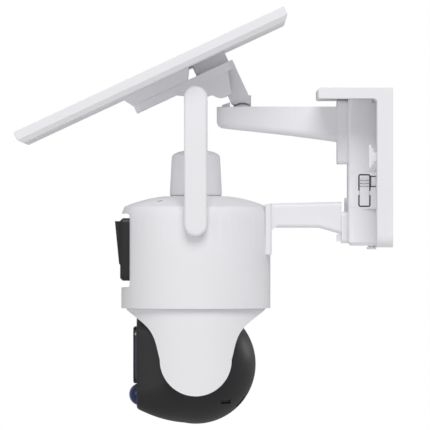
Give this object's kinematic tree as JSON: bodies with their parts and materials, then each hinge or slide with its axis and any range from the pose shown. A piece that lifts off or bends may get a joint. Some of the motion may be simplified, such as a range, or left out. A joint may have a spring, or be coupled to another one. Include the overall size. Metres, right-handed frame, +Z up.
{
  "type": "solar-powered security camera",
  "caption": "Wall-mounted solar security camera: tilting solar panel on an arm above a round body with side antennas, a fixed lens and a pan and tilt ball camera head.",
  "frame": {"origin": "centre of the wall plate's rear face, at the centre of its screw pattern", "axes": "+X into the wall, +Z up, +Y across the bracket; the camera hangs on the -X side"},
  "size_m": [0.2624, 0.163, 0.2904],
  "materials": {
    "white_shell": "satin moulded ABS",
    "black_shell": "satin moulded polycarbonate",
    "black_trim": "matt",
    "grey_plastic": "matt moulded",
    "dark_window": "polished, infrared clear",
    "motion_lens": "polished, dark blue",
    "lens_black": "polished",
    "seal_rubber": "matt",
    "gear_plastic": "moulded acetal",
    "steel": "zinc plated",
    "board": "solder mask",
    "cell_wrap": "shrink sleeve",
    "silicon": "coated cells",
    "cover_glass": "clear"
  },
  "bodies": {
    "wall_bracket": {"wall_plate": "white_shell", "bracket_column": "white_shell", "latch_spring": "steel", "cable_cleat": "grey_plastic", "column_lock_screw": "steel", "upper_arm": "white_shell", "lower_arm": "white_shell", "arm_socket": "white_shell", "arm_screws": "steel", "body_shell": "white_shell", "body_top_cover": "white_shell", "neck_cap": "white_shell", "neck_cap_seal": "seal_rubber", "fixed_lens_housing": "black_shell", "fixed_lens_window": "dark_window", "fixed_lens_barrel": "lens_black", "fixed_lens_board": "board", "base_plate": "grey_plastic", "pan_bearing": "gear_plastic", "pan_motor": "steel", "body_board": "board", "battery_holder": "grey_plastic", "battery_cells": "cell_wrap", "speaker": "black_trim", "body_screws": "steel", "antenna_pivots": "steel"},
    "antenna_left": {"antenna_left": "white_shell"},
    "antenna_right": {"antenna_right": "white_shell"},
    "latch_rocker": {"latch_rocker": "white_shell"},
    "pan_pinion": {"pan_pinion": "gear_plastic"},
    "tilt_pinion": {"tilt_pinion": "gear_plastic"},
    "pan_yoke": {"pan_yoke": "white_shell", "pan_gear": "gear_plastic", "hub_ring": "steel", "tilt_axles": "steel", "tilt_gear": "gear_plastic"},
    "head": {"head_front_shell": "black_shell", "head_rear_shell": "black_shell", "card_cover": "seal_rubber", "lens_window": "dark_window", "motion_dome": "motion_lens", "main_lens_barrel": "lens_black", "lamp_ring": "board", "head_board": "board", "tilt_motor": "steel", "head_screws": "steel"},
    "panel_swivel": {"swivel_base": "white_shell", "swivel_washer": "steel", "tilt_pin": "steel"},
    "solar_panel": {"panel_bracket": "white_shell", "bracket_screws": "steel", "junction_box": "white_shell", "panel_tray": "white_shell", "solar_cells": "silicon", "panel_glass": "cover_glass"}
  },
  "joints": [
    {"name": "camera_pan", "type": "hinge", "parent": "wall_bracket", "child": "pan_yoke", "pos_m": [-0.1366, 0, -0.09], "axis": [0, 0, 1], "range_deg": [-175, 175]},
    {"name": "camera_tilt", "type": "hinge", "parent": "pan_yoke", "child": "head", "pos_m": [-0.1366, 0, -0.1372], "axis": [0, -1, 0], "range_deg": [0, 90]},
    {"name": "pan_pinion_spin", "type": "hinge", "parent": "wall_bracket", "child": "pan_pinion", "pos_m": [-0.1118, 0, -0.084], "axis": [0, 0, 1], "range_deg": [-730, 730]},
    {"name": "tilt_pinion_spin", "type": "hinge", "parent": "head", "child": "tilt_pinion", "pos_m": [-0.1366, 0.0245, -0.118], "axis": [0, -1, 0], "range_deg": [0, 270]},
    {"name": "antenna_left_turn", "type": "hinge", "parent": "wall_bracket", "child": "antenna_left", "pos_m": [-0.1366, -0.057, -0.0395], "axis": [0, 1, 0], "range_deg": [-90, 90]},
    {"name": "antenna_right_turn", "type": "hinge", "parent": "wall_bracket", "child": "antenna_right", "pos_m": [-0.1366, 0.057, -0.0395], "axis": [0, 1, 0], "range_deg": [-90, 90]},
    {"name": "panel_swivel", "type": "hinge", "parent": "wall_bracket", "child": "panel_swivel", "pos_m": [-0.104, 0, 0.03], "axis": [0, 0, 1], "range_deg": [-25, 25]},
    {"name": "panel_tilt", "type": "hinge", "parent": "panel_swivel", "child": "solar_panel", "pos_m": [-0.104, 0, 0.0375], "axis": [0, 1, 0], "range_deg": [0, 25]},
    {"name": "latch_press", "type": "hinge", "parent": "wall_bracket", "child": "latch_rocker", "pos_m": [-0.0191, -0.0273, -0.01745], "axis": [1, 0, 0], "range_deg": [-5, 0], "stiffness_Nm_per_rad": 0.02}
  ],
  "couplings": [
    {"joint": "pan_pinion_spin", "follows": "camera_pan", "ratio": -4.1667},
    {"joint": "tilt_pinion_spin", "follows": "camera_tilt", "ratio": 3}
  ]
}
